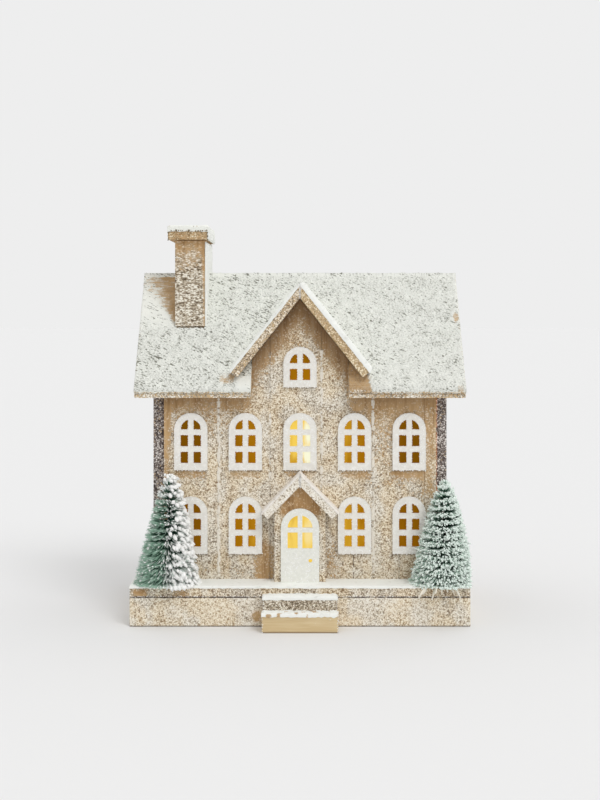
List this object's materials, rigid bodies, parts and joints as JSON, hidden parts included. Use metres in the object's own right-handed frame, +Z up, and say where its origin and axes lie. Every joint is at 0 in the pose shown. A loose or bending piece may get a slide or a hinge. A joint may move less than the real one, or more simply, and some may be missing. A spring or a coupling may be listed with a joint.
{
  "type": "light-up christmas village house",
  "caption": "Light-up wooden village house: snow-covered gabled roof, chimney, arched windows, porch door, front steps, base box and bottle-brush trees, with a battery lamp inside.",
  "frame": {"origin": "middle of the bounding box's underside, on the surface the house stands on", "axes": "+Z up, the front with the door faces -Y, +X is to the right seen from the front"},
  "size_m": [0.25, 0.169, 0.2964],
  "materials": {
    "wood_sprayed": "tan wood sprayed with fine artificial snow",
    "wood_bare": "bare sanded wood",
    "snow_coat": "wood under a thick lumpy coat of artificial snow",
    "white_paint": "matte white paint",
    "amber_film": "translucent amber film lit from behind",
    "brush_green": "green bristles with white snow on their tips",
    "steel_wire": "plain steel",
    "case_plastic": "moulded black plastic",
    "cell_wrap": "plain shrink wrap on a steel can",
    "contact_metal": "nickel-plated spring steel",
    "led_lens": "clear warm white LED lens",
    "lead_red": "red wire sleeve",
    "lead_black": "black wire sleeve"
  },
  "bodies": {
    "house": {"base_rail_back": "wood_sprayed", "base_rail_front": "wood_sprayed", "base_rail_left": "wood_sprayed", "base_rail_right": "wood_sprayed", "base_top": "wood_sprayed", "battery_case": "case_plastic", "case_screw_1": "steel_wire", "case_screw_2": "steel_wire", "cell_a": "cell_wrap", "cell_b": "cell_wrap", "chimney_cap": "wood_sprayed", "chimney_shaft": "wood_sprayed", "contact_bridge": "contact_metal", "contact_negative": "contact_metal", "contact_positive": "contact_metal", "door": "white_paint", "gable_roof_left": "wood_sprayed", "gable_roof_right": "wood_sprayed", "lamp_post": "case_plastic", "lead_jumper": "lead_black", "lead_negative": "lead_black", "lead_positive": "lead_red", "led_lower": "led_lens", "led_upper": "led_lens", "porch_panel": "wood_sprayed", "porch_roof_left": "wood_sprayed", "porch_roof_right": "wood_sprayed", "roof_back": "snow_coat", "roof_front": "snow_coat", "spring_bridge": "contact_metal", "spring_negative": "contact_metal", "step_lower": "wood_bare", "step_upper": "wood_sprayed", "switch_body": "steel_wire", "tree_left_brush": "brush_green", "tree_left_stem": "steel_wire", "tree_right_brush": "brush_green", "tree_right_stem": "steel_wire", "wall_back": "wood_sprayed", "wall_front": "wood_sprayed", "wall_left": "wood_sprayed", "wall_right": "wood_sprayed", "window_attic": "white_paint", "window_film": "amber_film", "window_lower_1": "white_paint", "window_lower_2": "white_paint", "window_lower_3": "white_paint", "window_lower_4": "white_paint", "window_upper_1": "white_paint", "window_upper_2": "white_paint", "window_upper_3": "white_paint", "window_upper_4": "white_paint", "window_upper_5": "white_paint"},
    "lid": {"battery_lid": "case_plastic"},
    "slider": {"switch_slider": "case_plastic"}
  },
  "joints": [
    {"name": "lid_slide", "type": "slide", "parent": "house", "child": "lid", "axis": [-1, 0, 0], "range_m": [0, 0.06]},
    {"name": "switch_slide", "type": "slide", "parent": "house", "child": "slider", "axis": [0, 1, 0], "range_m": [0, 0.004]}
  ]
}
